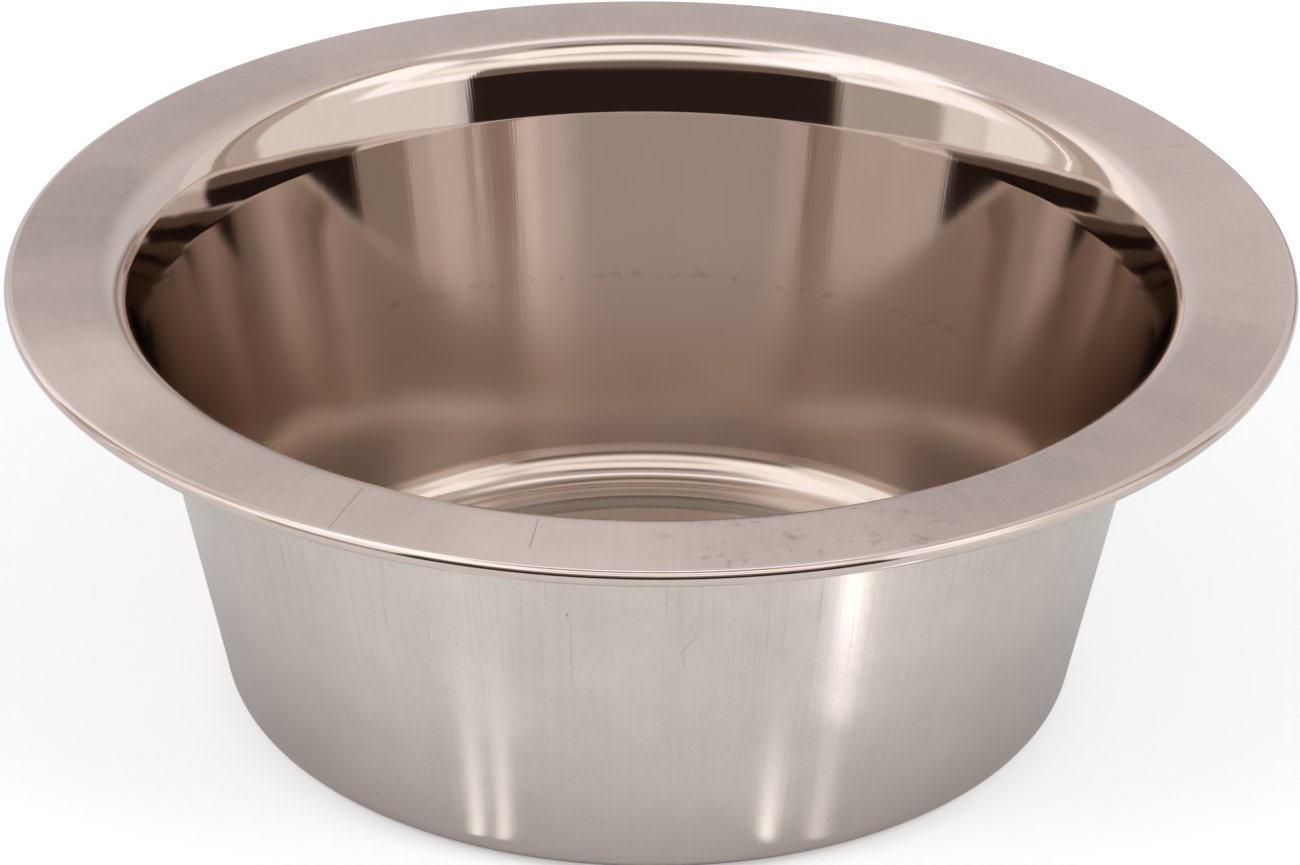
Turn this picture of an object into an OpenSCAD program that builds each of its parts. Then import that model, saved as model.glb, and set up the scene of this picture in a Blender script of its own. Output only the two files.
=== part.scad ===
// Flat-brimmed feeding bowl, pressed from one round of stainless steel sheet.
// The origin is on the axis, in the plane that the bowl stands on, with +Z up.
// The sheet is one piece. Its section is cut into eight stretches, each a node,
// which meet face to face where the form or the finish of the sheet changes.

/* [Brim and rolled edge] */
// Overall diameter, over the rolled edge
bowl_d = 240; // [170:1:360]
// Width of the flat of the brim, from the rolled edge to the shoulder
brim_w = 13; // [8:0.1:24]
// Droop of the brim towards its edge, in degrees
brim_droop = 4.5; // [0:0.5:8]
// Diameter of the rolled edge
edge_d = 3.3; // [2.6:0.1:5]
// Gap between the end of the curl and the underside of the brim
edge_gap = 0.5; // [0.2:0.1:0.9]

/* [Body] */
// Overall height, from the foot to the top of the shoulder
bowl_h = 86.6; // [50:0.2:140]
// Thickness of the sheet
sheet_t = 0.6; // [0.4:0.05:1]
// Bend radius of the shoulder, on its upper face
shoulder_r = 8.6; // [4:0.1:12]
// Bend radius of the flare under the shoulder, on its inner face
flare_r = 72; // [50:1:140]
// How far the flare leans out over its height, in degrees
flare_turn = 7; // [2:0.1:10]
// Bend radius of the crease under the flare, on its inner face
crease_r = 16; // [6:1:40]
// How far the crease leans out, in degrees
crease_turn = 3.1; // [0.5:0.1:5]
// Taper of the side wall from upright, in degrees
wall_taper = 12.2; // [4:0.2:22]
// Bend radius at the foot, on the outer face
foot_r = 7.9; // [4:0.1:14]

/* [Base] */
// Width of the flat ring that the bowl stands on
ring_w = 1.5; // [1:0.5:12]
// Rise of the centre of the base above the ring
centre_rise = 1.2; // [0.6:0.1:3]
// Bend radius of the two bends of the step, at the middle of the sheet
step_r = 22; // [8:0.5:40]

/* [Hidden] */

// Facets round the bowl and round a bend, which are true arcs in the solids
bowl_facets = 240;
bend_facets = 96;
// Reach of the wedge that cuts a bend out of its ring, in radii of the bend
wedge_share = 2;
// Number of points on the arc of that wedge
wedge_steps = 8;

// Colours of the satin brim, the polished sheet and the bright edge
satin = [0.69, 0.63, 0.61];
polished = [0.75, 0.71, 0.68];
bright = [0.80, 0.77, 0.74];

// Directions in the section: along and square to the brim, along and square to the wall
brim_along = [cos(brim_droop), -sin(brim_droop)];
brim_normal = [sin(brim_droop), cos(brim_droop)];
wall_along = [-sin(wall_taper), -cos(wall_taper)];
wall_normal = [cos(wall_taper), -sin(wall_taper)];

// Centre of the shoulder bend, set out inwards from the rolled edge
edge_r = edge_d / 2;
edge_x = bowl_d / 2 - edge_r;
shoulder_x = edge_x - brim_w * brim_along.x + (edge_r - shoulder_r) * brim_normal.x;
shoulder_c = [shoulder_x, bowl_h - shoulder_r];

// Upper face of the brim, from the shoulder outwards, and the centre of the curl
brim_in = shoulder_c + shoulder_r * brim_normal;
brim_out = brim_in + brim_w * brim_along;
edge_c = brim_out - edge_r * brim_normal;

// The curl turns until its end lies edge_gap under the brim
edge_turn = 360 - acos(1 - (sheet_t + edge_gap) / edge_r);

// Where the shoulder, the flare and the crease end, each where the next one starts
crease_end = 180 - wall_taper;
flare_end = crease_end - crease_turn;
shoulder_end = flare_end - flare_turn;
flare_c = shoulder_c + (shoulder_r - flare_r) * [cos(shoulder_end), sin(shoulder_end)];
crease_c = flare_c + (flare_r - crease_r) * [cos(flare_end), sin(flare_end)];

// Outer face of the wall, from the crease down to the foot bend
wall_top = crease_c - (crease_r - sheet_t) * wall_normal;
wall_drop = wall_top.y - foot_r * (1 - sin(wall_taper));
wall_foot = wall_top + wall_drop / cos(wall_taper) * wall_along;
foot_c = wall_foot - foot_r * wall_normal;

// Step of the base: two equal bends that turn up and back by step_turn
step_turn = acos(1 - centre_rise / (2 * step_r));
step_out = foot_c.x - ring_w;
step_in = step_out - 2 * step_r * sin(step_turn);
step_face_r = step_r + sheet_t / 2;

// A bent stretch of sheet in the section. face_r is the radius of its outer face.
module bend(centre, face_r, from, to) {
    reach = wedge_share * face_r;
    translate(centre)
        intersection() {
            difference() {
                circle(r = face_r, $fn = bend_facets);
                circle(r = face_r - sheet_t, $fn = bend_facets);
            }
            polygon([
                [0, 0],
                for (i = [0 : wedge_steps])
                    let (a = from + (to - from) * i / wedge_steps)
                    reach * [cos(a), sin(a)]
            ]);
        }
}

// A straight stretch of sheet in the section, from one point of a face to another.
// The sheet lies on the side that normal points away from.
module straight(start, end, normal) {
    polygon([start, end, end - sheet_t * normal, start - sheet_t * normal]);
}

// Turns a section about the bowl's axis
module turned() {
    rotate_extrude($fn = bowl_facets) children();
}

// Hollow curl that stiffens the edge and hides the cut of the sheet
module rolled_edge() {
    color(bright)
        turned()
            bend(edge_c, edge_r, 90 - brim_droop - edge_turn, 90 - brim_droop);
}

// Flat brim, which droops a little towards its edge
module brim() {
    color(satin)
        turned()
            straight(brim_in, brim_out, brim_normal);
}

// Rounded bend from the brim down towards the wall
module shoulder() {
    color(polished)
        turned()
            bend(shoulder_c, shoulder_r, 90 - brim_droop, shoulder_end);
}

// Gentle flare under the shoulder
module flare() {
    color(polished)
        turned()
            bend(flare_c, flare_r, shoulder_end, flare_end);
}

// Narrow bend at the top of the wall, from which the flare starts
module crease() {
    color(polished)
        turned()
            bend(crease_c, crease_r, flare_end, crease_end);
}

// Tapered wall between the two bends
module side_wall() {
    color(polished)
        turned()
            straight(wall_top, wall_foot, wall_normal);
}

// Rounded bend from the wall into the base
module foot_bend() {
    color(polished)
        turned()
            bend(foot_c, foot_r, -90, -wall_taper);
}

// Flat ring that the bowl stands on, the step inside it and the raised centre
module base() {
    ring_c = [step_out, step_face_r];
    rise_c = [step_in, centre_rise + sheet_t - step_face_r];
    color(polished)
        turned() {
            translate([step_out, 0]) square([ring_w, sheet_t]);
            bend(ring_c, step_face_r, -90 - step_turn, -90);
            bend(rise_c, step_face_r, 90 - step_turn, 90);
            translate([0, centre_rise]) square([step_in, sheet_t]);
        }
}

rolled_edge();
brim();
shoulder();
flare();
crease();
side_wall();
foot_bend();
base();
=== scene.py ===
"""Stainless steel feeding bowl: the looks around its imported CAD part.

The bowl is one round of sheet, so every piece here is a turned stretch of that sheet.
Its section follows the same rules and the same named sizes as the CAD part, in metres.
"""
import math
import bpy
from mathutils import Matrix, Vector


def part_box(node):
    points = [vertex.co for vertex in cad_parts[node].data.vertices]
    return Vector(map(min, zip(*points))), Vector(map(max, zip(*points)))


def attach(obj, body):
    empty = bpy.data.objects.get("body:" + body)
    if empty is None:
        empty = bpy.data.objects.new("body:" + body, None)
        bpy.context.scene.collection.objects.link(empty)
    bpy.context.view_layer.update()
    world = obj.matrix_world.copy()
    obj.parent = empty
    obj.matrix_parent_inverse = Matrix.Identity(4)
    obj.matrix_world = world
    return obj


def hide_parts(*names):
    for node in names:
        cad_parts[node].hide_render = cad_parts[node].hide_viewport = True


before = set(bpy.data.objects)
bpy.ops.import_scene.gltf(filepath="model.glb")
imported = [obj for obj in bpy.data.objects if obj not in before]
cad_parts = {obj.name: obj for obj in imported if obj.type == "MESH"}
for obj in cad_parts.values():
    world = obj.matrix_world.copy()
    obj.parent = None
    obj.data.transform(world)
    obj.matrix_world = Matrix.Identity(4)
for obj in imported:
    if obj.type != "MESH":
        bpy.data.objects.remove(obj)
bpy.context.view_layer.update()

from types import SimpleNamespace

import bmesh
import bpy
from bpy.props import FloatProperty, FloatVectorProperty, IntProperty, PointerProperty
from mathutils import Matrix, Vector

bl_info = {
    "name": "Feeding bowl",
    "version": (1, 0, 0),
    "blender": (4, 5, 0),
    "location": "3D View > Sidebar > Bowl",
    "description": "Turned stainless steel feeding bowl with a satin brim and a rolled edge",
    "category": "Object",
}

MM = 0.001
BOWL_D = 2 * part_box("rolled_edge")[1].x
BOWL_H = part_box("shoulder")[1].z

# Points closer than this are one point, such as the copies at a pole
SAME_POINT = 0.001 * MM
# An edge that turns more than this stays sharp, such as the rim of a cut end
SHARP_TURN = math.radians(50)
# How much closer together the points of an arc lie at its ends
ARC_EASE = 0.8
# How often light is mirrored from one side of the bowl to the other before it is dropped
GLOSSY_BOUNCES = 8


class BowlSizes(bpy.types.PropertyGroup):
    """Sizes of the pressed sheet, as in the CAD part"""

    bowl_d: FloatProperty(
        name="Diameter", description="Over the rolled edge", default=BOWL_D, unit="LENGTH")
    bowl_h: FloatProperty(
        name="Height", description="From the foot to the top of the shoulder",
        default=BOWL_H, unit="LENGTH")
    sheet_t: FloatProperty(
        name="Sheet", description="Thickness of the sheet", default=0.6 * MM, unit="LENGTH")
    brim_w: FloatProperty(
        name="Brim width", description="Flat of the brim, from the rolled edge to the shoulder",
        default=13 * MM, unit="LENGTH")
    brim_droop: FloatProperty(
        name="Brim droop", description="Droop of the brim towards its edge",
        default=math.radians(4.5), subtype="ANGLE")
    edge_d: FloatProperty(
        name="Rolled edge", description="Diameter of the rolled edge",
        default=3.3 * MM, unit="LENGTH")
    edge_gap: FloatProperty(
        name="Edge gap", description="Gap between the end of the curl and the brim",
        default=0.5 * MM, unit="LENGTH")
    shoulder_r: FloatProperty(
        name="Shoulder", description="Bend radius of the shoulder, on its upper face",
        default=8.6 * MM, unit="LENGTH")
    flare_r: FloatProperty(
        name="Flare", description="Bend radius of the flare below the shoulder, on its inner face",
        default=72 * MM, unit="LENGTH")
    flare_turn: FloatProperty(
        name="Flare turn", description="How far the flare leans out over its height",
        default=math.radians(7.0), subtype="ANGLE")
    crease_r: FloatProperty(
        name="Crease", description="Bend radius of the crease under the flare, on its inner face",
        default=16 * MM, unit="LENGTH")
    crease_turn: FloatProperty(
        name="Crease turn", description="How far the crease leans out",
        default=math.radians(3.1), subtype="ANGLE")
    wall_taper: FloatProperty(
        name="Wall taper", description="Taper of the wall from upright",
        default=math.radians(12.2), subtype="ANGLE")
    foot_r: FloatProperty(
        name="Foot bend", description="Bend radius at the foot, on the outer face",
        default=7.9 * MM, unit="LENGTH")
    ring_w: FloatProperty(
        name="Foot ring", description="Width of the flat ring that the bowl stands on",
        default=1.5 * MM, unit="LENGTH")
    centre_rise: FloatProperty(
        name="Centre rise", description="Rise of the centre of the base above the ring",
        default=1.2 * MM, unit="LENGTH")
    step_r: FloatProperty(
        name="Step bend", description="Bend radius of the step, at the middle of the sheet",
        default=22 * MM, unit="LENGTH")
    facets_round: IntProperty(
        name="Facets round", description="Facets of each turned piece round the axis", default=384)
    arc_points: IntProperty(
        name="Arc points", description="Stretches along each bend of the section", default=36)


class BowlFinish(bpy.types.PropertyGroup):
    """Colours and gloss of the steel"""

    steel: FloatVectorProperty(
        name="Polished steel", description="Colour of the polished sheet", subtype="COLOR",
        size=4, min=0, max=1, default=(0.600, 0.520, 0.472, 1))
    satin: FloatVectorProperty(
        name="Satin steel", description="Colour of the brim", subtype="COLOR",
        size=4, min=0, max=1, default=(0.535, 0.446, 0.404, 1))
    # Darker, browner colour that paints in the shade of the hollow towards the foot inside
    shaded_foot_steel: FloatVectorProperty(
        name="Shaded foot steel", description="Colour of the inside towards the foot", subtype="COLOR",
        size=4, min=0, max=1, default=(0.545, 0.455, 0.394, 1))
    drawn: FloatVectorProperty(
        name="Drawn steel", description="Colour of the outside", subtype="COLOR",
        size=4, min=0, max=1, default=(0.640, 0.580, 0.542, 1))
    mirror_roughness: FloatProperty(
        name="Inside roughness", description="Roughness of the polished inside under the brim",
        default=0.045, subtype="FACTOR")
    low_roughness: FloatProperty(
        name="Low roughness", description="Roughness of the polished inside at the foot",
        default=0.14, subtype="FACTOR")
    edge_roughness: FloatProperty(
        name="Edge roughness", description="Roughness of the rolled edge",
        default=0.10, subtype="FACTOR")
    drawn_roughness: FloatProperty(
        name="Outside roughness", description="Roughness of the drawn outside",
        default=0.20, subtype="FACTOR")
    satin_roughness: FloatProperty(
        name="Brim roughness", description="Roughness of the satin brim",
        default=0.30, subtype="FACTOR")


class BowlStage(bpy.types.PropertyGroup):
    """Floor, light and camera"""

    floor: FloatVectorProperty(
        name="Floor", description="Colour of the floor", subtype="COLOR",
        size=4, min=0, max=1, default=(0.82, 0.83, 0.84, 1))
    soft_light: FloatProperty(
        name="Soft light", description="Strength of the light from all round", default=0.55)
    lens: FloatProperty(
        name="Lens", description="Focal length on a 36 mm sensor, in mm", default=200.23)
    view_distance: FloatProperty(
        name="View distance", description="From the camera to the middle of the brim",
        default=1343.5 * MM, unit="LENGTH")
    view_rise: FloatProperty(
        name="View rise", description="Angle of the camera above the brim's plane",
        default=math.radians(26.238), subtype="ANGLE")
    view_pitch: FloatProperty(
        name="View pitch", description="Angle that the camera looks down by",
        default=math.radians(27.578), subtype="ANGLE")
    view_roll: FloatProperty(
        name="View roll", description="Lean of the camera", default=math.radians(0.48),
        subtype="ANGLE")


# Section of the sheet


def along(angle, length=1.0):
    """Vector in the section at an angle from outwards, in radians."""
    return Vector((math.cos(angle), math.sin(angle))) * length


def bend_points(centre, radius, start, end, stretches):
    """Points along a bend, closest together at its two ends."""
    points = []
    for i in range(stretches + 1):
        share = i / stretches
        share -= ARC_EASE * math.sin(2 * math.pi * share) / (2 * math.pi)
        points.append(centre + along(start + (end - start) * share, radius))
    return points


def straight_points(start, end, stretches):
    """Evenly spaced points from start to end."""
    return [start.lerp(end, i / stretches) for i in range(stretches + 1)]


def sheet_section(sizes):
    """Places and directions of the section, worked out from the named sizes."""
    droop = sizes.brim_droop
    taper = sizes.wall_taper
    up = math.pi / 2
    brim_along = along(-droop)
    brim_normal = along(up - droop)
    wall_along = along(-up - taper)
    wall_normal = along(-taper)
    edge_r = sizes.edge_d / 2
    shoulder_x = (sizes.bowl_d / 2 - edge_r - sizes.brim_w * brim_along.x
                  + (edge_r - sizes.shoulder_r) * brim_normal.x)
    shoulder_c = Vector((shoulder_x, sizes.bowl_h - sizes.shoulder_r))
    brim_in = shoulder_c + sizes.shoulder_r * brim_normal
    brim_out = brim_in + sizes.brim_w * brim_along
    crease_end = math.pi - taper
    flare_end = crease_end - sizes.crease_turn
    shoulder_end = flare_end - sizes.flare_turn
    flare_c = shoulder_c + along(shoulder_end, sizes.shoulder_r - sizes.flare_r)
    crease_c = flare_c + along(flare_end, sizes.flare_r - sizes.crease_r)
    wall_top = crease_c + along(crease_end, sizes.crease_r - sizes.sheet_t)
    wall_drop = wall_top.y - sizes.foot_r * (1 - math.sin(taper))
    wall_foot = wall_top + wall_drop / math.cos(taper) * wall_along
    foot_c = wall_foot - sizes.foot_r * wall_normal
    step_turn = math.acos(1 - sizes.centre_rise / (2 * sizes.step_r))
    step_out = foot_c.x - sizes.ring_w
    step_in = step_out - 2 * sizes.step_r * math.sin(step_turn)
    step_face_r = sizes.step_r + sizes.sheet_t / 2
    return SimpleNamespace(
        up=up, droop=droop, taper=taper, brim_normal=brim_normal, wall_normal=wall_normal,
        edge_r=edge_r, edge_c=brim_out - edge_r * brim_normal,
        edge_turn=2 * math.pi - math.acos(1 - (sizes.sheet_t + sizes.edge_gap) / edge_r),
        shoulder_c=shoulder_c, shoulder_end=shoulder_end, flare_c=flare_c, flare_end=flare_end,
        crease_c=crease_c, crease_end=crease_end, brim_in=brim_in, brim_out=brim_out,
        wall_top=wall_top, wall_foot=wall_foot, foot_c=foot_c, step_turn=step_turn,
        step_out=step_out, step_face_r=step_face_r,
        ring_c=Vector((step_out, step_face_r)),
        rise_c=Vector((step_in, sizes.centre_rise + sizes.sheet_t - step_face_r)))


def bent_strip(centre, face_r, sheet_t, start, end, stretches):
    """Closed outline of a bent stretch of sheet. face_r is the radius of its outer face."""
    outer = bend_points(centre, face_r, start, end, stretches)
    inner = bend_points(centre, face_r - sheet_t, start, end, stretches)
    return outer[::-1] + inner


def flare_outline(sizes, section, stretches):
    """Closed outline of the flare and of the crease under it."""
    faces = []
    for inset in (0, sizes.sheet_t):
        faces.append(
            bend_points(section.flare_c, sizes.flare_r - inset,
                        section.shoulder_end, section.flare_end, stretches)[:-1]
            + bend_points(section.crease_c, sizes.crease_r - inset,
                          section.flare_end, section.crease_end, stretches // 2))
    return faces[0][::-1] + faces[1]


def straight_strip(start, end, normal, sheet_t, stretches):
    """Closed outline of a straight stretch of sheet, which lies on the side away from normal."""
    outer = straight_points(start, end, stretches)
    inner = [point - sheet_t * normal for point in outer]
    return outer + inner[::-1]


def base_outline(sizes, section, stretches):
    """Open outline of the base, from the axis out over its upper face and back under it."""
    up = section.up
    turn = section.step_turn
    face_r = section.step_face_r
    back_r = face_r - sizes.sheet_t
    bends = stretches // 2
    rise_end = Vector((0, sizes.centre_rise))
    thick = Vector((0, sizes.sheet_t))
    ring_end = Vector((section.foot_c.x, 0))
    ring_start = Vector((section.step_out, 0))
    top = (
        straight_points(rise_end + thick, section.rise_c + along(up, face_r), stretches)[:-1]
        + bend_points(section.rise_c, face_r, up, up - turn, bends)[:-1]
        + bend_points(section.ring_c, back_r, -up - turn, -up, bends)[:-1]
        + straight_points(ring_start + thick, ring_end + thick, bends))
    under = (
        straight_points(ring_end, ring_start, bends)[:-1]
        + bend_points(section.ring_c, face_r, -up, -up - turn, bends)[:-1]
        + bend_points(section.rise_c, back_r, up - turn, up, bends)[:-1]
        + straight_points(section.rise_c + along(up, back_r), rise_end, stretches))
    return top + under


# Node trees


class Board:
    """A node tree being laid out: adds nodes, and wires or sets their inputs."""

    def __init__(self, tree):
        self.tree = tree

    def add(self, kind, inputs=None, **settings):
        """Adds a node. inputs maps an input's name or number to a socket or a value."""
        made = self.tree.nodes.new(kind)
        for name, value in settings.items():
            setattr(made, name, value)
        for key, value in (inputs or {}).items():
            self.feed(made.inputs[key], value)
        return made

    def feed(self, socket, value):
        """Wires a socket into an input, or sets the input's own value."""
        if isinstance(value, bpy.types.NodeSocket):
            self.tree.links.new(value, socket)
        else:
            socket.default_value = value

    def math(self, operation, *values, clamp=False):
        """Result of a Math node."""
        return self.add("ShaderNodeMath", dict(enumerate(values)),
                        operation=operation, use_clamp=clamp).outputs[0]

    def vector(self, operation, *values):
        """Result of a Vector Math node."""
        made = self.add("ShaderNodeVectorMath", operation=operation)
        used = [socket for socket in made.inputs if socket.enabled]
        for socket, value in zip(used, values):
            self.feed(socket, value)
        return next(socket for socket in made.outputs if socket.enabled)

    def fade(self, value, start, end, low=0.0, high=1.0):
        """Smooth step from low to high as value goes from start to end."""
        return self.add(
            "ShaderNodeMapRange",
            {"Value": value, "From Min": start, "From Max": end, "To Min": low, "To Max": high},
            interpolation_type="SMOOTHSTEP").outputs[0]

    def mix(self, factor, first, second):
        """Colour that goes from first to second as factor goes from 0 to 1."""
        # A Mix node takes its two colours at inputs 6 and 7, and gives one at output 2
        made = self.add("ShaderNodeMix", {0: factor, 6: first, 7: second}, data_type="RGBA")
        return made.outputs[2]

    def noise(self, vector, scale, detail=2.0, roughness=0.5):
        """Grey noise from 0 to 1, with its middle at 0.5."""
        return self.add(
            "ShaderNodeTexNoise",
            {"Vector": vector, "Scale": scale, "Detail": detail, "Roughness": roughness}
        ).outputs[0]


def turned_sheet_tree():
    """Tree that turns a section about the axis and gives each side of the sheet its finish."""
    tree = bpy.data.node_groups.new("Turned sheet", "GeometryNodeTree")
    inputs = {
        "Section": "NodeSocketGeometry", "Ring radius": "NodeSocketFloat",
        "Facets round": "NodeSocketInt", "Same point": "NodeSocketFloat",
        "Sharp turn": "NodeSocketFloat", "Inside finish": "NodeSocketMaterial",
        "Outside finish": "NodeSocketMaterial"}
    for label, kind in inputs.items():
        tree.interface.new_socket(label, in_out="INPUT", socket_type=kind)
    tree.interface.new_socket("Sheet", in_out="OUTPUT", socket_type="NodeSocketGeometry")
    board = Board(tree)
    given = board.add("NodeGroupInput").outputs
    section = board.add("GeometryNodeMeshToCurve", {"Mesh": given["Section"]}).outputs[0]
    ring = board.add(
        "GeometryNodeCurvePrimitiveCircle",
        {"Resolution": given["Facets round"], "Radius": given["Ring radius"]}).outputs[0]
    turned = board.add(
        "GeometryNodeCurveToMesh", {"Curve": ring, "Profile Curve": section}).outputs[0]
    closed = board.add(
        "GeometryNodeMergeByDistance",
        {"Geometry": turned, "Distance": given["Same point"]}).outputs[0]
    smooth = board.add(
        "GeometryNodeSetShadeSmooth", {"Geometry": closed, "Shade Smooth": True},
        domain="FACE").outputs[0]
    turn = board.add("GeometryNodeInputMeshEdgeAngle").outputs[0]
    sharp = board.math("GREATER_THAN", turn, given["Sharp turn"])
    edged = board.add(
        "GeometryNodeSetShadeSmooth",
        {"Geometry": smooth, "Selection": sharp, "Shade Smooth": False},
        domain="EDGE").outputs[0]
    # A face is on the inside where its normal leans up and towards the axis
    place = board.add("ShaderNodeSeparateXYZ", {0: board.add("GeometryNodeInputPosition").outputs[0]})
    flat = board.add("ShaderNodeCombineXYZ", {0: place.outputs[0], 1: place.outputs[1]}).outputs[0]
    inward = board.vector("SUBTRACT", (0, 0, 1), board.vector("NORMALIZE", flat))
    lean = board.vector("DOT_PRODUCT", board.add("GeometryNodeInputNormal").outputs[0], inward)
    inside = board.math("GREATER_THAN", lean, 0.0)
    real = board.add("GeometryNodeRealizeInstances", {0: edged}).outputs[0]
    outer = board.add(
        "GeometryNodeSetMaterial", {"Geometry": real, "Material": given["Outside finish"]}).outputs[0]
    both = board.add(
        "GeometryNodeSetMaterial",
        {"Geometry": outer, "Selection": inside, "Material": given["Inside finish"]}).outputs[0]
    board.add("NodeGroupOutput", {"Sheet": both})
    return tree


def turned_piece(name, outline, inside, outside="drawn_outside", closed=True):
    """Turns an outline into a piece. inside and outside name its finishes."""
    sizes = bpy.context.scene.bowl_sizes
    # The section is swept round a small ring, so its points count from that ring
    ring_r = sizes.sheet_t
    points = [(point.x - ring_r, -point.y, 0) for point in outline]
    edges = [(i, i + 1) for i in range(len(points) - 1)]
    if closed:
        edges.append((len(points) - 1, 0))
    mesh = bpy.data.meshes.new(name)
    mesh.from_pydata(points, edges, [])
    section = bpy.data.objects.new(name + "_section", mesh)
    bpy.context.scene.collection.objects.link(section)
    tree = bpy.data.node_groups.get("Turned sheet") or turned_sheet_tree()
    modifier = section.modifiers.new("Turned sheet", "NODES")
    modifier.node_group = tree
    values = {
        "Ring radius": ring_r, "Facets round": sizes.facets_round, "Same point": SAME_POINT,
        "Sharp turn": SHARP_TURN, "Inside finish": steel(inside), "Outside finish": steel(outside)}
    for label, value in values.items():
        modifier[tree.interface.items_tree[label].identifier] = value
    graph = bpy.context.evaluated_depsgraph_get()
    turned = bpy.data.meshes.new_from_object(section.evaluated_get(graph))
    turned.name = name
    bpy.data.objects.remove(section)
    piece = bpy.data.objects.new(name, turned)
    bpy.context.scene.collection.objects.link(piece)
    check_closed(piece)
    return piece


def check_closed(piece):
    """Raises an error if a piece has an open edge or is inside out."""
    mesh = bmesh.new()
    mesh.from_mesh(piece.data)
    open_edges = sum(1 for edge in mesh.edges if len(edge.link_faces) != 2)
    volume = mesh.calc_volume(signed=True)
    mesh.free()
    if open_edges or volume <= 0:
        raise RuntimeError(f"{piece.name}: {open_edges} open edges, volume {volume:g}")


def stand_for(piece, nodes):
    """Puts a piece in the place of its CAD nodes, on the bowl's one body."""
    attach(piece, "root")
    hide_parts(*nodes)


# Finishes of the steel


def new_material(name):
    """Empty material, and the board of its node tree."""
    material = bpy.data.materials.new(name)
    material.use_nodes = True
    material.node_tree.nodes.clear()
    board = Board(material.node_tree)
    return material, board


def round_axis(board, slope_way):
    """Places on a turned surface. slope_way names the one that grows along its section."""
    place = board.add("ShaderNodeTexCoord").outputs["Object"]
    parts = board.add("ShaderNodeSeparateXYZ", {0: place}).outputs
    flat = board.add("ShaderNodeCombineXYZ", {0: parts[0], 1: parts[1]}).outputs[0]
    axis = SimpleNamespace(
        place=place, x=parts[0], y=parts[1], height=parts[2], flat=flat,
        distance=board.vector("LENGTH", flat), direction=board.vector("NORMALIZE", flat))
    axis.slope_way = getattr(axis, slope_way)
    return axis


def steel_surface(board, colour, roughness, normal, anisotropic=0.0):
    """Steel shader, wired to the material's output. Its gloss is drawn out across the lines."""
    shader = board.add(
        "ShaderNodeBsdfPrincipled",
        {"Base Color": colour, "Roughness": roughness, "Metallic": 1.0,
         "Anisotropic": anisotropic, "Normal": normal})
    if anisotropic:
        tangent = board.add("ShaderNodeTangent", direction_type="RADIAL", axis="Z")
        board.feed(shader.inputs["Tangent"], tangent.outputs[0])
    board.add("ShaderNodeOutputMaterial", {"Surface": shader.outputs[0]})


def toned(colour, amount):
    """A colour made lighter or darker."""
    return (*(amount * part for part in colour[:3]), 1.0)


def relief(board, height, depth=1.0):
    """Normal of a surface on which a height of 1 stands depth proud, in metres."""
    return board.add("ShaderNodeBump", {"Height": height, "Distance": depth}).outputs[0]


def fine_lines(board, axis, round_scale, rise_scale, detail=2.0):
    """Noise drawn out into lines. Its scales are per radian round the axis and per metre across."""
    way = board.vector("SCALE", axis.direction, round_scale)
    across = board.math("MULTIPLY", axis.slope_way, rise_scale)
    lift = board.add("ShaderNodeCombineXYZ", {2: across}).outputs[0]
    return board.noise(board.vector("ADD", way, lift), scale=1.0, detail=detail)


def centred(board, value, amount):
    """Noise made to swing round zero by amount."""
    return board.math("MULTIPLY", board.math("SUBTRACT", value, 0.5), 2 * amount)


def summed(board, *values):
    """Sum of several values."""
    total = values[0]
    for value in values[1:]:
        total = board.math("ADD", total, value)
    return total


def shaded(board, colour, *changes):
    """A colour made lighter by the sum of some values, where 0.1 is a tenth lighter."""
    if not isinstance(colour, bpy.types.NodeSocket):
        colour = tuple(colour[:3])
    return board.vector("SCALE", colour, summed(board, 1.0, *changes))


def scratch(board, spot, start, end, width, strengths):
    """Mark along a line, with its strength at the start and end, and none beyond half its width."""
    start = Vector(start)
    reach = Vector(end) - start
    offset = board.vector("SUBTRACT", spot, start)
    share = board.math("MULTIPLY", board.vector("DOT_PRODUCT", offset, reach),
                       1 / reach.length_squared, clamp=True)
    nearest = board.vector("SCALE", reach, share)
    away = board.vector("DISTANCE", offset, nearest)
    strength = strengths[0]
    if strengths[0] != strengths[1]:
        strength = board.fade(share, 0.0, 1.0, *strengths)
    return board.fade(away, 0.0, width / 2, low=strength, high=0.0)


# Hairlines on the brim, from one place to another, each as distance from the axis in mm and
# degrees round from +X, with their strength
BRIM_HAIRLINES = (
    ((104.5, -118.6), (118.9, -117.9), 0.55),
    ((104.5, -100.6), (113.9, -100.4), 0.50),
    ((117.7, 171.9), (104.0, 171.2), 0.35),
    ((104.0, 171.2), (100.5, 173.9), 0.25),
    ((118.1, 177.8), (107.5, 177.0), 0.20),
    ((104.5, 27.9), (116.6, 27.2), 0.35),
    ((104.5, -12.5), (115.1, -13.2), 0.30),
    ((105.6, -6.2), (114.5, -7.1), 0.25),
    ((113.4, -164.4), (104.5, -164.7), 0.20),
    ((104.5, -112.5), (111.0, -112.4), 0.15),
)
HAIRLINE_W = 0.42 * MM


def brim_hairlines(board, axis):
    """The brim's hairlines, as one value."""
    marks = []
    for inner, outer, strength in BRIM_HAIRLINES:
        ends = [along(math.radians(turn), radius * MM).to_3d() for radius, turn in (inner, outer)]
        marks.append(scratch(board, axis.flat, *ends, HAIRLINE_W, (strength, strength)))
    return summed(board, *marks)


# Stretches of the brim with a painted sheen, lighter or darker, each as degrees round from +X, how
# far it reaches to either side in degrees, and how much lighter it is
BRIM_PAINTED_SHEEN = (
    (8, 16, 0.05),
    (90, 45, -0.09),
    (143, 24, -0.15),
    (171, 15, -0.26),
    (191, 10, -0.13),
    (206, 14, 0.15),
    (229, 10, -0.05),
    (262, 16, 0.15),
    (310, 24, -0.19),
    (337, 14, -0.13),
)


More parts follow.
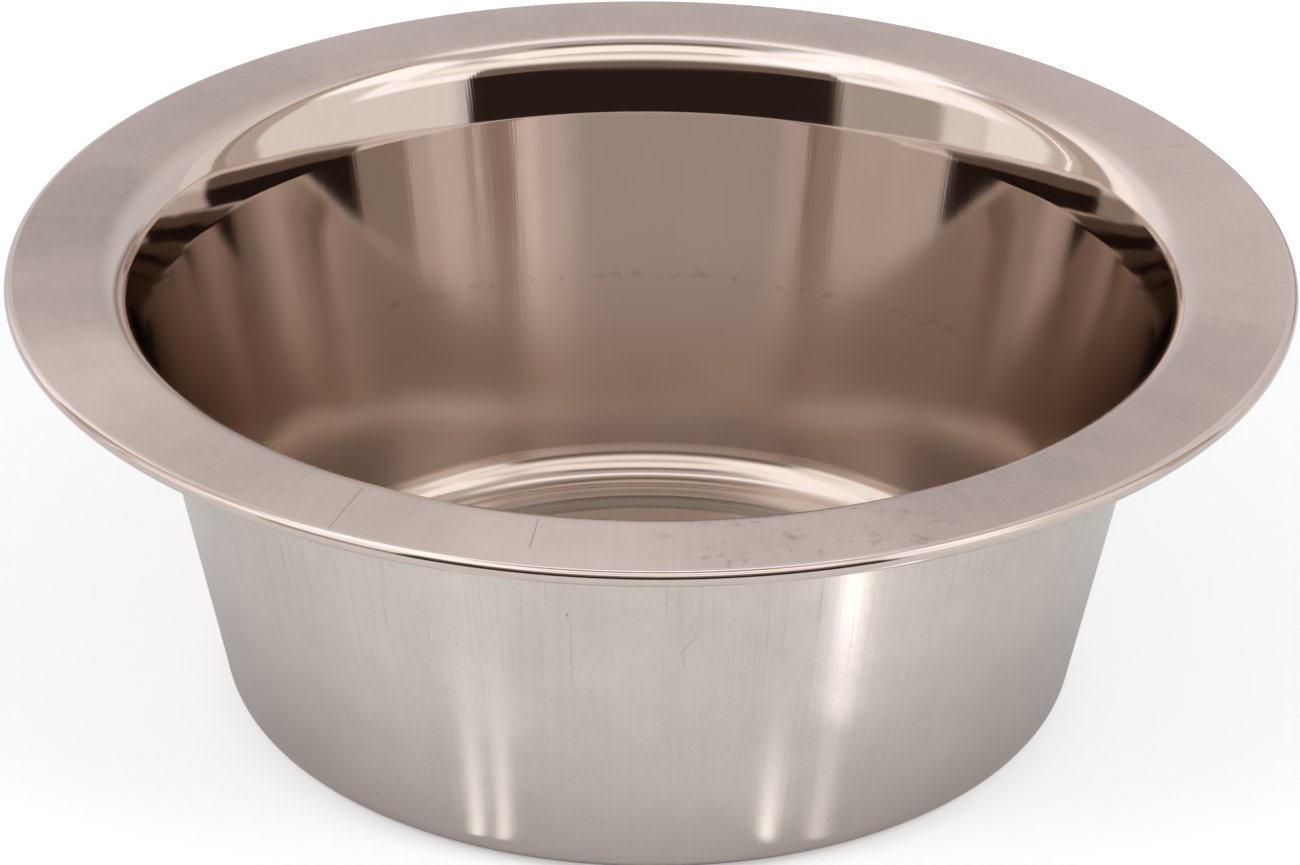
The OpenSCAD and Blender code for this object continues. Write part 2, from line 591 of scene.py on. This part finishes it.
def brim_painted_sheen(board, axis):
    """The brim's painted sheen, lighter and darker round the axis, as one value."""
    shades = []
    for turn, reach, amount in BRIM_PAINTED_SHEEN:
        middle = along(math.radians(turn)).to_3d()
        nearness = board.vector("DOT_PRODUCT", axis.direction, middle)
        shades.append(board.fade(nearness, math.cos(math.radians(reach)), 1.0, high=amount))
    return summed(board, *shades)


# Where the finishes and the painted shade and reflection change, from start to end in metres:
# heights where the name says so, and otherwise distances from the axis
RUBBED_BRIM = (111 * MM, 118 * MM)
WORN_SHOULDER = (99 * MM, 103 * MM)
# Heights over which the painted shade inside comes in towards the foot
INSIDE_SHADE_HEIGHTS = (48 * MM, 14 * MM)
CLEARER_HEIGHTS = (15 * MM, 65 * MM)
DIE_LINE_HEIGHTS = (30 * MM, 72 * MM)
# Heights over which the painted shade outside comes in towards the foot
OUTSIDE_SHADE_HEIGHTS = (22 * MM, 2 * MM)
BASE_DISC = (60.6 * MM, 59.4 * MM)
# Ring round the raised centre with a painted dark reflection: where it comes in and where it goes
PAINTED_DARK_RING_STARTS = (59.5 * MM, 60.5 * MM)
PAINTED_DARK_RING_ENDS = (70 * MM, 65 * MM)

# Middle of the smudges on the brim, and the cosines of how far they reach from it
SMUDGES_TURN = math.radians(-74)
SMUDGES_REACH = (0.95, 0.99)
# Faint line that water left on the far side inside: its height, how far it strays, how it fades
# above and below, and how far behind the axis it starts to show
SCUM_HEIGHT = 40 * MM
SCUM_STRAYS = 3 * MM
SCUM_SPREAD = (0.2 * MM, 1.4 * MM)
SCUM_SIDE = (35 * MM, 70 * MM)


def satin_look(board, finish):
    """Colour, roughness and relief in metres of the satin: clouds, lines both ways, marks and a
    painted sheen.
    """
    axis = round_axis(board, "distance")
    clouds = board.noise(axis.place, scale=75.0, detail=4.0, roughness=0.6)
    outwards = fine_lines(board, axis, round_scale=260.0, rise_scale=60.0)
    rings = fine_lines(board, axis, round_scale=16.0, rise_scale=3200.0)
    threads = fine_lines(board, axis, round_scale=300.0, rise_scale=110.0, detail=3.0)
    threads = board.fade(threads, 0.69, 0.80, high=0.30)
    rubbed = board.fade(axis.distance, *RUBBED_BRIM, high=0.04)
    nearness = board.vector("DOT_PRODUCT", axis.direction, along(SMUDGES_TURN).to_3d())
    smudges = board.noise(axis.place, scale=220.0, detail=4.0, roughness=0.7)
    smudges = board.math("MULTIPLY", board.fade(nearness, *SMUDGES_REACH),
                         board.fade(smudges, 0.54, 0.68, high=0.35))
    marks = summed(board, brim_hairlines(board, axis), threads, smudges)
    # The brim's painted sheen goes into the colour here, with the clouds and the lines
    colour = shaded(board, finish.satin, centred(board, clouds, 0.13), centred(board, outwards, 0.09),
                    centred(board, rings, 0.06), rubbed, brim_painted_sheen(board, axis))
    colour = board.mix(marks, colour, toned(finish.satin, 0.25))
    gloss = summed(board, finish.satin_roughness, centred(board, clouds, 0.08),
                   centred(board, outwards, 0.05))
    height = board.math("MULTIPLY", board.math("ADD", outwards, rings), 0.004 * MM)
    return colour, gloss, height


def satin_material(finish):
    """Satin sheet of the brim."""
    material, board = new_material("brushed_brim")
    colour, gloss, height = satin_look(board, finish)
    steel_surface(board, colour, gloss, relief(board, height))
    return material


def mirror_look(board, finish):
    """Colour, roughness and relief in metres of the polished inside, clearest under the brim, with
    shade painted darker and browner towards the foot.
    """
    axis = round_axis(board, "height")
    waves = fine_lines(board, axis, round_scale=5.0, rise_scale=8.0, detail=1.0)
    hairs = fine_lines(board, axis, round_scale=240.0, rise_scale=90.0, detail=1.0)
    bloom = board.noise(axis.place, scale=60.0, detail=3.0, roughness=0.6)
    # Painted shade: the inside turns darker and browner towards the foot
    inner_foot_shade = board.fade(axis.height, *INSIDE_SHADE_HEIGHTS)
    polished = shaded(board, board.mix(inner_foot_shade, finish.steel, finish.shaded_foot_steel),
                      centred(board, bloom, 0.04), centred(board, hairs, 0.02))
    strayed = board.math("ADD", axis.height, centred(board, bloom, SCUM_STRAYS))
    off_line = board.math("ABSOLUTE", board.math("SUBTRACT", strayed, SCUM_HEIGHT))
    far_side = board.fade(axis.y, *SCUM_SIDE)
    dots = fine_lines(board, axis, round_scale=45.0, rise_scale=700.0)
    dots = board.fade(dots, 0.50, 0.62, high=0.30)
    scum = board.math("MULTIPLY", board.math("MULTIPLY", far_side, dots),
                      board.fade(off_line, *SCUM_SPREAD, low=1.0, high=0.0))
    colour = board.mix(scum, polished, toned(finish.steel, 0.45))
    clear = board.fade(axis.height, *CLEARER_HEIGHTS, finish.low_roughness, finish.mirror_roughness)
    gloss = board.math("ADD", clear, centred(board, bloom, 0.02))
    height = board.math("ADD", board.math("MULTIPLY", waves, 0.10 * MM),
                        board.math("MULTIPLY", hairs, 0.0035 * MM))
    return colour, gloss, height


def mirror_material(finish):
    """Polished sheet of the inside."""
    material, board = new_material("polished_inside")
    colour, gloss, height = mirror_look(board, finish)
    steel_surface(board, colour, gloss, relief(board, height), anisotropic=0.4)
    return material


def shoulder_material(finish):
    """Bend under the brim, over which the satin runs out into the polish."""
    material, board = new_material("worn_shoulder")
    colour, gloss, height = mirror_look(board, finish)
    satin_colour, satin_gloss, satin_height = satin_look(board, finish)
    satin = board.fade(round_axis(board, "distance").distance, *WORN_SHOULDER)
    gain = board.math("MULTIPLY", board.math("SUBTRACT", satin_gloss, gloss), satin)
    lines = board.math("MULTIPLY", satin_height, satin)
    steel_surface(board, board.mix(satin, colour, satin_colour), board.math("ADD", gloss, gain),
                  relief(board, board.math("ADD", height, lines)))
    return material


# Scratches on the outside, from one place to another, each as mm to the right and mm up, with
# their width in mm and their strength
WALL_SCRATCHES = (
    ((5.4, 52.6), (8.6, 57.2), 0.5, 0.30),
    ((6.2, 55.0), (6.3, 50.0), 0.3, 0.30),
    ((-14.5, 61.5), (-14.3, 61.0), 0.7, 0.60),
)


def drawn_material(finish):
    """Drawn sheet of the outside, with upright die lines under the brim, small marks and shade
    painted in towards the foot.
    """
    material, board = new_material("drawn_outside")
    axis = round_axis(board, "height")
    clouds = board.noise(axis.place, scale=45.0, detail=4.0, roughness=0.65)
    upright = fine_lines(board, axis, round_scale=380.0, rise_scale=16.0, detail=3.0)
    grain = board.noise(axis.place, scale=1300.0)
    die_lines = fine_lines(board, axis, round_scale=330.0, rise_scale=30.0)
    die_lines = board.fade(die_lines, 0.60, 0.74, high=0.40)
    under_brim = board.fade(axis.height, *DIE_LINE_HEIGHTS)
    specks = board.noise(axis.place, scale=900.0, detail=0.0)
    specks = board.fade(specks, 0.88, 0.91, high=0.45)
    front = board.math("LESS_THAN", axis.y, 0.0)
    beside = board.add("ShaderNodeCombineXYZ", {0: axis.x, 2: axis.height}).outputs[0]
    marks = []
    for start, end, width, strength in WALL_SCRATCHES:
        ends = [Vector((across, 0, up)) * MM for across, up in (start, end)]
        marks.append(scratch(board, beside, *ends, width * MM, (strength, strength)))
    scratches = board.math("MULTIPLY", summed(board, *marks), front)
    marks = summed(board, scratches, board.math("MULTIPLY", die_lines, under_brim), specks)
    # Painted shade: the outside turns darker and browner towards the foot, where it mirrors the
    # floor's shade
    outer_foot_shade = board.fade(axis.height, *OUTSIDE_SHADE_HEIGHTS, high=0.35)
    colour = shaded(board, finish.drawn, centred(board, clouds, 0.16), centred(board, upright, 0.10),
                    centred(board, grain, 0.07))
    colour = board.mix(outer_foot_shade, colour, toned(finish.satin, 0.85))
    colour = board.mix(marks, colour, toned(finish.drawn, 0.25))
    gloss = summed(board, finish.drawn_roughness, centred(board, clouds, 0.08),
                   centred(board, upright, 0.06))
    height = board.math("ADD", upright, grain)
    steel_surface(board, colour, gloss, relief(board, height, 0.006 * MM), anisotropic=0.75)
    return material


def edge_material(finish):
    """Bright rolled edge, with faint marks round it."""
    material, board = new_material("bright_edge")
    axis = round_axis(board, "height")
    rolled = fine_lines(board, axis, round_scale=30.0, rise_scale=900.0)
    dents = fine_lines(board, axis, round_scale=26.0, rise_scale=60.0, detail=1.0)
    colour = shaded(board, finish.steel, centred(board, rolled, 0.06))
    gloss = summed(board, finish.edge_roughness, centred(board, rolled, 0.05))
    height = summed(board, dents, board.math("MULTIPLY", rolled, 0.05))
    steel_surface(board, colour, gloss, relief(board, height, 0.02 * MM))
    return material


def base_material(finish):
    """Upper face of the base: a satin disc with a slightly uneven edge, then a ring with a painted
    dark reflection.
    """
    material, board = new_material("base_inside")
    axis = round_axis(board, "distance")
    clouds = board.noise(axis.place, scale=60.0, detail=4.0, roughness=0.6)
    rings = fine_lines(board, axis, round_scale=9.0, rise_scale=1800.0)
    wander = centred(board, fine_lines(board, axis, round_scale=3.5, rise_scale=0.0), 1.0 * MM)
    satin = board.fade(board.math("ADD", axis.distance, wander), *BASE_DISC)
    even = board.mix(satin, finish.steel, toned(finish.satin, 0.72))
    # Painted dark reflection on the ring round the raised centre
    painted_dark_ring = board.math("MULTIPLY", board.fade(axis.distance, *PAINTED_DARK_RING_STARTS, high=-0.65),
                           board.fade(axis.distance, *PAINTED_DARK_RING_ENDS))
    colour = shaded(board, even, centred(board, clouds, 0.08), centred(board, rings, 0.02), painted_dark_ring)
    gloss = summed(board, finish.low_roughness, centred(board, clouds, 0.04),
                   board.math("MULTIPLY", satin, finish.satin_roughness - finish.low_roughness))
    steel_surface(board, colour, gloss, relief(board, clouds, 0.003 * MM))
    return material


FINISHES = {
    "brushed_brim": satin_material,
    "polished_inside": mirror_material,
    "worn_shoulder": shoulder_material,
    "drawn_outside": drawn_material,
    "bright_edge": edge_material,
    "base_inside": base_material,
}


def steel(name):
    """A finish by name, made the first time that it is asked for."""
    return bpy.data.materials.get(name) or FINISHES[name](bpy.context.scene.bowl_finish)


# Pieces


class BOWL_OT_rolled_edge(bpy.types.Operator):
    """Hollow curl round the brim"""

    bl_idname = "bowl.rolled_edge"
    bl_label = "Rolled edge"

    def execute(self, context):
        sizes = context.scene.bowl_sizes
        section = sheet_section(sizes)
        top = section.up - section.droop
        outline = bent_strip(section.edge_c, section.edge_r, sizes.sheet_t,
                             top - section.edge_turn, top, 2 * sizes.arc_points)
        piece = turned_piece("edge_curl", outline, "bright_edge", outside="bright_edge")
        stand_for(piece, ["rolled_edge"])
        return {"FINISHED"}


class BOWL_OT_brim(bpy.types.Operator):
    """Flat satin brim"""

    bl_idname = "bowl.brim"
    bl_label = "Brim"

    def execute(self, context):
        sizes = context.scene.bowl_sizes
        section = sheet_section(sizes)
        outline = straight_strip(section.brim_in, section.brim_out, section.brim_normal,
                                 sizes.sheet_t, sizes.arc_points // 2)
        piece = turned_piece("brim_flat", outline, "brushed_brim")
        stand_for(piece, ["brim"])
        return {"FINISHED"}


class BOWL_OT_shoulder(bpy.types.Operator):
    """Polished bend from the brim down into the wall"""

    bl_idname = "bowl.shoulder"
    bl_label = "Shoulder"

    def execute(self, context):
        sizes = context.scene.bowl_sizes
        section = sheet_section(sizes)
        outline = bent_strip(section.shoulder_c, sizes.shoulder_r, sizes.sheet_t,
                             section.up - section.droop, section.shoulder_end, sizes.arc_points)
        piece = turned_piece("shoulder_bend", outline, "worn_shoulder")
        stand_for(piece, ["shoulder"])
        return {"FINISHED"}


class BOWL_OT_flare(bpy.types.Operator):
    """Gentle flare under the shoulder, with the crease that it starts from"""

    bl_idname = "bowl.flare"
    bl_label = "Flare"

    def execute(self, context):
        sizes = context.scene.bowl_sizes
        section = sheet_section(sizes)
        outline = flare_outline(sizes, section, sizes.arc_points)
        piece = turned_piece("flare_bend", outline, "polished_inside")
        stand_for(piece, ["flare", "crease"])
        return {"FINISHED"}


class BOWL_OT_side_wall(bpy.types.Operator):
    """Tapered wall between the two bends"""

    bl_idname = "bowl.side_wall"
    bl_label = "Side wall"

    def execute(self, context):
        sizes = context.scene.bowl_sizes
        section = sheet_section(sizes)
        outline = straight_strip(section.wall_top, section.wall_foot, section.wall_normal,
                                 sizes.sheet_t, sizes.arc_points)
        piece = turned_piece("drawn_wall", outline, "polished_inside")
        stand_for(piece, ["side_wall"])
        return {"FINISHED"}


class BOWL_OT_foot_bend(bpy.types.Operator):
    """Bend from the wall into the base"""

    bl_idname = "bowl.foot_bend"
    bl_label = "Foot bend"

    def execute(self, context):
        sizes = context.scene.bowl_sizes
        section = sheet_section(sizes)
        outline = bent_strip(section.foot_c, sizes.foot_r, sizes.sheet_t,
                             -section.up, -section.taper, sizes.arc_points)
        piece = turned_piece("foot_curve", outline, "polished_inside")
        stand_for(piece, ["foot_bend"])
        return {"FINISHED"}


class BOWL_OT_base(bpy.types.Operator):
    """Foot ring, the step inside it and the raised centre"""

    bl_idname = "bowl.base"
    bl_label = "Base"

    def execute(self, context):
        sizes = context.scene.bowl_sizes
        section = sheet_section(sizes)
        outline = base_outline(sizes, section, sizes.arc_points)
        piece = turned_piece("base_plate", outline, "base_inside", closed=False)
        stand_for(piece, ["base"])
        return {"FINISHED"}


# Stage


class Tent:
    """Light tent that the steel mirrors, laid out in turn and rise round the bowl, in degrees.

    A turn is 0 towards the camera, 90 to the right and 180 away from it.
    """

    def __init__(self, board):
        self.board = board
        way = board.add("ShaderNodeTexCoord").outputs["Generated"]
        parts = board.add("ShaderNodeSeparateXYZ", {0: board.vector("NORMALIZE", way)}).outputs
        nearer = board.math("MULTIPLY", parts[1], -1.0)
        self.turn = board.math("DEGREES", board.math("ARCTAN2", parts[0], nearer))
        self.rise = board.math("DEGREES", board.math("ARCSINE", parts[2]))
        from_top = board.math("SUBTRACT", 90.0, self.rise)
        sideways = board.math("RADIANS", self.turn)
        self.across = board.math("MULTIPLY", from_top, board.math("SINE", sideways))
        self.nearer = board.math("MULTIPLY", from_top, board.math("COSINE", sideways))
        self.light = None

    def wall(self, low, high, start, end):
        """Covers all directions, and goes from one colour to another as the rise does."""
        self.light = self.board.mix(self.board.fade(self.rise, start, end), low, high)

    def panel(self, colour, turns, rises, edge):
        """Lays a panel with soft edges over what is there."""
        self.lay(colour, self.turn, turns, self.rise, rises, edge)

    def lid(self, colour, across, nearer, edge):
        """Lays a panel overhead, in degrees from straight up: to the right, and to the camera."""
        self.lay(colour, self.across, across, self.nearer, nearer, edge)

    def lay(self, colour, first, first_ends, second, second_ends, edge):
        """Lays a colour where two values lie between their ends, with soft edges."""
        board = self.board
        inside = 1.0
        for value, ends in ((first, first_ends), (second, second_ends)):
            for start, end, place in ((0.0, 1.0, ends[0]), (1.0, 0.0, ends[1])):
                if place is not None:
                    side = board.fade(value, place - edge, place + edge, start, end)
                    inside = board.math("MULTIPLY", inside, side)
        self.light = board.mix(inside, self.light, colour)


def hang_tent(tent):
    """Hangs the tent's panels. Each has a colour, its two reaches and how soft its edges are."""
    tent.wall((0.86, 0.83, 0.85, 1), (0.95, 0.93, 0.94, 1), 16.0, 40.0)
    # Left side: bright at the back, then a tan band with a bright thread, and white
    tent.panel((1.22, 1.19, 1.20, 1), (-144, -117), (None, 50), 8)
    tent.panel((1.50, 1.47, 1.50, 1), (-128, -117), (None, 45), 4)
    tent.panel((0.68, 0.57, 0.50, 1), (-117, -106), (None, 62), 0.8)
    tent.panel((0.86, 0.78, 0.73, 1), (-106, -96), (None, 62), 1.0)
    tent.panel((1.60, 1.58, 1.60, 1), (-102.5, -101), (None, 45), 0.5)
    tent.panel((1.30, 1.26, 1.24, 1), (-96, -78), (None, None), 2)
    tent.panel((1.10, 1.04, 1.00, 1), (-78, -67), (None, None), 2)
    tent.panel((0.60, 0.53, 0.48, 1), (-67, -43), (None, 22), 2)
    tent.panel((1.60, 1.62, 1.66, 1), (-88, -43), (24, None), 4)
    # Right side: a broader tan band, and white
    tent.panel((1.04, 1.00, 0.98, 1), (110, 122), (None, 60), 1.5)
    tent.panel((0.55, 0.45, 0.39, 1), (105, 110), (None, 70), 0.8)
    tent.panel((0.70, 0.61, 0.55, 1), (95, 105), (None, 70), 1.5)
    tent.panel((1.10, 1.06, 1.03, 1), (44, 95), (None, None), 1.5)
    tent.panel((1.60, 1.62, 1.66, 1), (41, 70), (20, None), 3)
    tent.panel((1.72, 1.74, 1.78, 1), (66, 98), (46, None), 4)
    # Low on the far side: brown, to the right
    tent.panel((0.38, 0.32, 0.29, 1), (140, 185), (None, 6.5), 4)
    # Camera side: dark, with brown above it and white over that
    tent.panel((0.26, 0.20, 0.16, 1), (-43, 41), (None, None), 1)
    tent.panel((0.030, 0.019, 0.015, 1), (-41, 41), (None, 19.5), 1)
    tent.panel((0.92, 0.86, 0.82, 1), (-60, 60), (37, None), 7)
    tent.panel((1.55, 1.52, 1.49, 1), (-60, 60), (39, 52), 5)
    # Overhead: white lights round a soft brown patch
    tent.lid((0.80, 0.76, 0.76, 1), (-30, 24), (-26, 20), 3)
    tent.lid((1.75, 1.80, 1.90, 1), (-24, 16), (-20, -8), 2)
    tent.lid((1.75, 1.80, 1.90, 1), (-34, -15), (-14, 40), 3)
    tent.lid((1.60, 1.58, 1.58, 1), (-24, 24), (13, 29), 2.5)
    tent.lid((0.30, 0.23, 0.20, 1), (-10, 13), (3, 10.5), 2.5)


def studio_world(stage):
    """White round the bowl, with a light tent that only the steel mirrors."""
    world = bpy.data.worlds.new("studio")
    world.use_nodes = True
    world.node_tree.nodes.clear()
    board = Board(world.node_tree)
    path = board.add("ShaderNodeLightPath").outputs
    tent = Tent(board)
    hang_tent(tent)
    shown = board.math("MAXIMUM", path["Is Camera Ray"], path["Is Transmission Ray"])
    strength = board.fade(shown, 0.0, 1.0, stage.soft_light, 1.0)
    plain = board.add("ShaderNodeBackground", {"Color": (1, 1, 1, 1), "Strength": strength})
    mirrored = board.add("ShaderNodeBackground", {"Color": tent.light, "Strength": 1.0})
    light = board.add("ShaderNodeMixShader",
                      {0: path["Is Glossy Ray"], 1: plain.outputs[0], 2: mirrored.outputs[0]})
    board.add("ShaderNodeOutputWorld", {"Surface": light.outputs[0]})
    bpy.context.scene.world = world


# Strips of light on the floor that only the steel mirrors: from one place to another in mm,
# width in mm, and strength at either end
FLOOR_STREAKS = (
    ((-35, -77), (-82, -121), 5.5, (1.1, 0.30)),
    ((-30, -80), (-69, -131), 5.5, (1.0, 0.30)),
    ((26, -83), (47, -113), 6, (1.3, 0.10)),
    ((35, -77), (60, -96), 8, (0.5, 0.3)),
    ((60, -96), (86, -117), 15, (0.9, 2.6)),
)
# Where the floor clears the bowl's shadow, from the axis, and how bright it is mirrored there
OPEN_FLOOR = (82 * MM, 125 * MM)
OPEN_FLOOR_LIGHT = 0.18
# Glow of the floor, which only the camera sees
FLOOR_GLOW = 0.40
# Half the width of the floor, in metres
FLOOR_HALF = 3.0


def floor_material(stage):
    """Pale floor that keeps the bowl's shadow and runs into the white background."""
    material, board = new_material("pale_floor")
    path = board.add("ShaderNodeLightPath").outputs
    axis = round_axis(board, "distance")
    paint = board.add("ShaderNodeBsdfDiffuse", {"Color": stage.floor}).outputs[0]
    streaks = []
    for start, end, width, light in FLOOR_STREAKS:
        ends = [Vector((*place, 0)) * MM for place in (start, end)]
        streaks.append(scratch(board, axis.flat, *ends, width * MM, light))
    open_floor = board.fade(axis.distance, *OPEN_FLOOR, high=OPEN_FLOOR_LIGHT)
    lit = summed(board, open_floor, *streaks)
    seen = board.math("MULTIPLY", path["Is Camera Ray"], FLOOR_GLOW)
    white = (1, 1, 1, 1)
    glow = board.add("ShaderNodeEmission", {"Color": white, "Strength": seen}).outputs[0]
    mirrored = board.add("ShaderNodeEmission", {"Color": white, "Strength": lit}).outputs[0]
    either = board.add("ShaderNodeMixShader",
                       {0: path["Is Glossy Ray"], 1: glow, 2: mirrored}).outputs[0]
    lifted = board.add("ShaderNodeAddShader", {0: paint, 1: either}).outputs[0]
    board.add("ShaderNodeOutputMaterial", {"Surface": lifted})
    return material


def add_floor(stage):
    """Square floor in the plane that the bowl stands on."""
    half = FLOOR_HALF
    mesh = bpy.data.meshes.new("floor")
    corners = [(-half, -half, 0), (half, -half, 0), (half, half, 0), (-half, half, 0)]
    mesh.from_pydata(corners, [], [(0, 1, 2, 3)])
    floor = bpy.data.objects.new("floor", mesh)
    mesh.materials.append(floor_material(stage))
    bpy.context.scene.collection.objects.link(floor)


# Name and place of each lamp in metres, and the power in watts and width in metres of both
LAMPS = (("lamp_left", (-0.9, -0.7, 1.0)), ("lamp_right", (0.9, -0.7, 1.0)))
LAMP_POWER = 6
LAMP_W = 0.6


def add_lamp(name, place, target):
    """Soft square lamp that points at the bowl and isn't mirrored in it."""
    data = bpy.data.lights.new(name, "AREA")
    data.energy = LAMP_POWER
    data.size = LAMP_W
    lamp = bpy.data.objects.new(name, data)
    lamp.location = place
    lamp.rotation_mode = "QUATERNION"
    lamp.rotation_quaternion = (Vector(target) - Vector(place)).to_track_quat("-Z", "Y")
    lamp.visible_glossy = False
    bpy.context.scene.collection.objects.link(lamp)


# Width of the camera's sensor, in mm
SENSOR_W = 36


def add_camera(stage, brim_top):
    """Camera of the photograph, set out from the middle of the brim's plane."""
    data = bpy.data.cameras.new("photo_view")
    data.sensor_width = SENSOR_W
    data.lens = stage.lens
    camera = bpy.data.objects.new("photo_view", data)
    back = Vector((0, -math.cos(stage.view_rise), math.sin(stage.view_rise)))
    place = Vector((0, 0, brim_top)) + stage.view_distance * back
    camera.matrix_world = (
        Matrix.Translation(place)
        @ Matrix.Rotation(math.pi / 2 - stage.view_pitch, 4, "X")
        @ Matrix.Rotation(stage.view_roll, 4, "Z"))
    bpy.context.scene.collection.objects.link(camera)
    bpy.context.scene.camera = camera


class BOWL_OT_stage(bpy.types.Operator):
    """Floor, soft light and camera"""

    bl_idname = "bowl.stage"
    bl_label = "Stage"

    def execute(self, context):
        scene = context.scene
        stage = scene.bowl_stage
        scene.view_settings.view_transform = "Standard"
        scene.cycles.glossy_bounces = GLOSSY_BOUNCES
        studio_world(stage)
        add_floor(stage)
        middle = (0, 0, scene.bowl_sizes.bowl_h / 2)
        for name, place in LAMPS:
            add_lamp(name, place, middle)
        add_camera(stage, sheet_section(scene.bowl_sizes).brim_out.y)
        return {"FINISHED"}


OPERATORS = (
    BOWL_OT_rolled_edge,
    BOWL_OT_brim,
    BOWL_OT_shoulder,
    BOWL_OT_flare,
    BOWL_OT_side_wall,
    BOWL_OT_foot_bend,
    BOWL_OT_base,
    BOWL_OT_stage,
)


class BOWL_PT_panel(bpy.types.Panel):
    """Sizes, finishes and pieces of the bowl"""

    bl_idname = "BOWL_PT_panel"
    bl_label = "Feeding bowl"
    bl_space_type = "VIEW_3D"
    bl_region_type = "UI"
    bl_category = "Bowl"

    def draw(self, context):
        column = self.layout.column()
        for group in (context.scene.bowl_sizes, context.scene.bowl_finish,
                      context.scene.bowl_stage):
            for name in group.__annotations__:
                column.prop(group, name)
            column.separator()
        for operator in OPERATORS:
            column.operator(operator.bl_idname)


GROUPS = (BowlSizes, BowlFinish, BowlStage)


def register():
    """Registers the classes and puts their settings on the scene."""
    for item in (*GROUPS, *OPERATORS, BOWL_PT_panel):
        bpy.utils.register_class(item)
    bpy.types.Scene.bowl_sizes = PointerProperty(type=BowlSizes)
    bpy.types.Scene.bowl_finish = PointerProperty(type=BowlFinish)
    bpy.types.Scene.bowl_stage = PointerProperty(type=BowlStage)


def unregister():
    """Takes the settings off the scene and unregisters the classes."""
    del bpy.types.Scene.bowl_stage
    del bpy.types.Scene.bowl_finish
    del bpy.types.Scene.bowl_sizes
    for item in reversed((*GROUPS, *OPERATORS, BOWL_PT_panel)):
        bpy.utils.unregister_class(item)


def main():
    """Makes the bowl and its stage."""
    register()
    bpy.ops.bowl.stage()
    bpy.ops.bowl.rolled_edge()
    bpy.ops.bowl.brim()
    bpy.ops.bowl.shoulder()
    bpy.ops.bowl.flare()
    bpy.ops.bowl.side_wall()
    bpy.ops.bowl.foot_bend()
    bpy.ops.bowl.base()


if __name__ == "__main__":
    main()
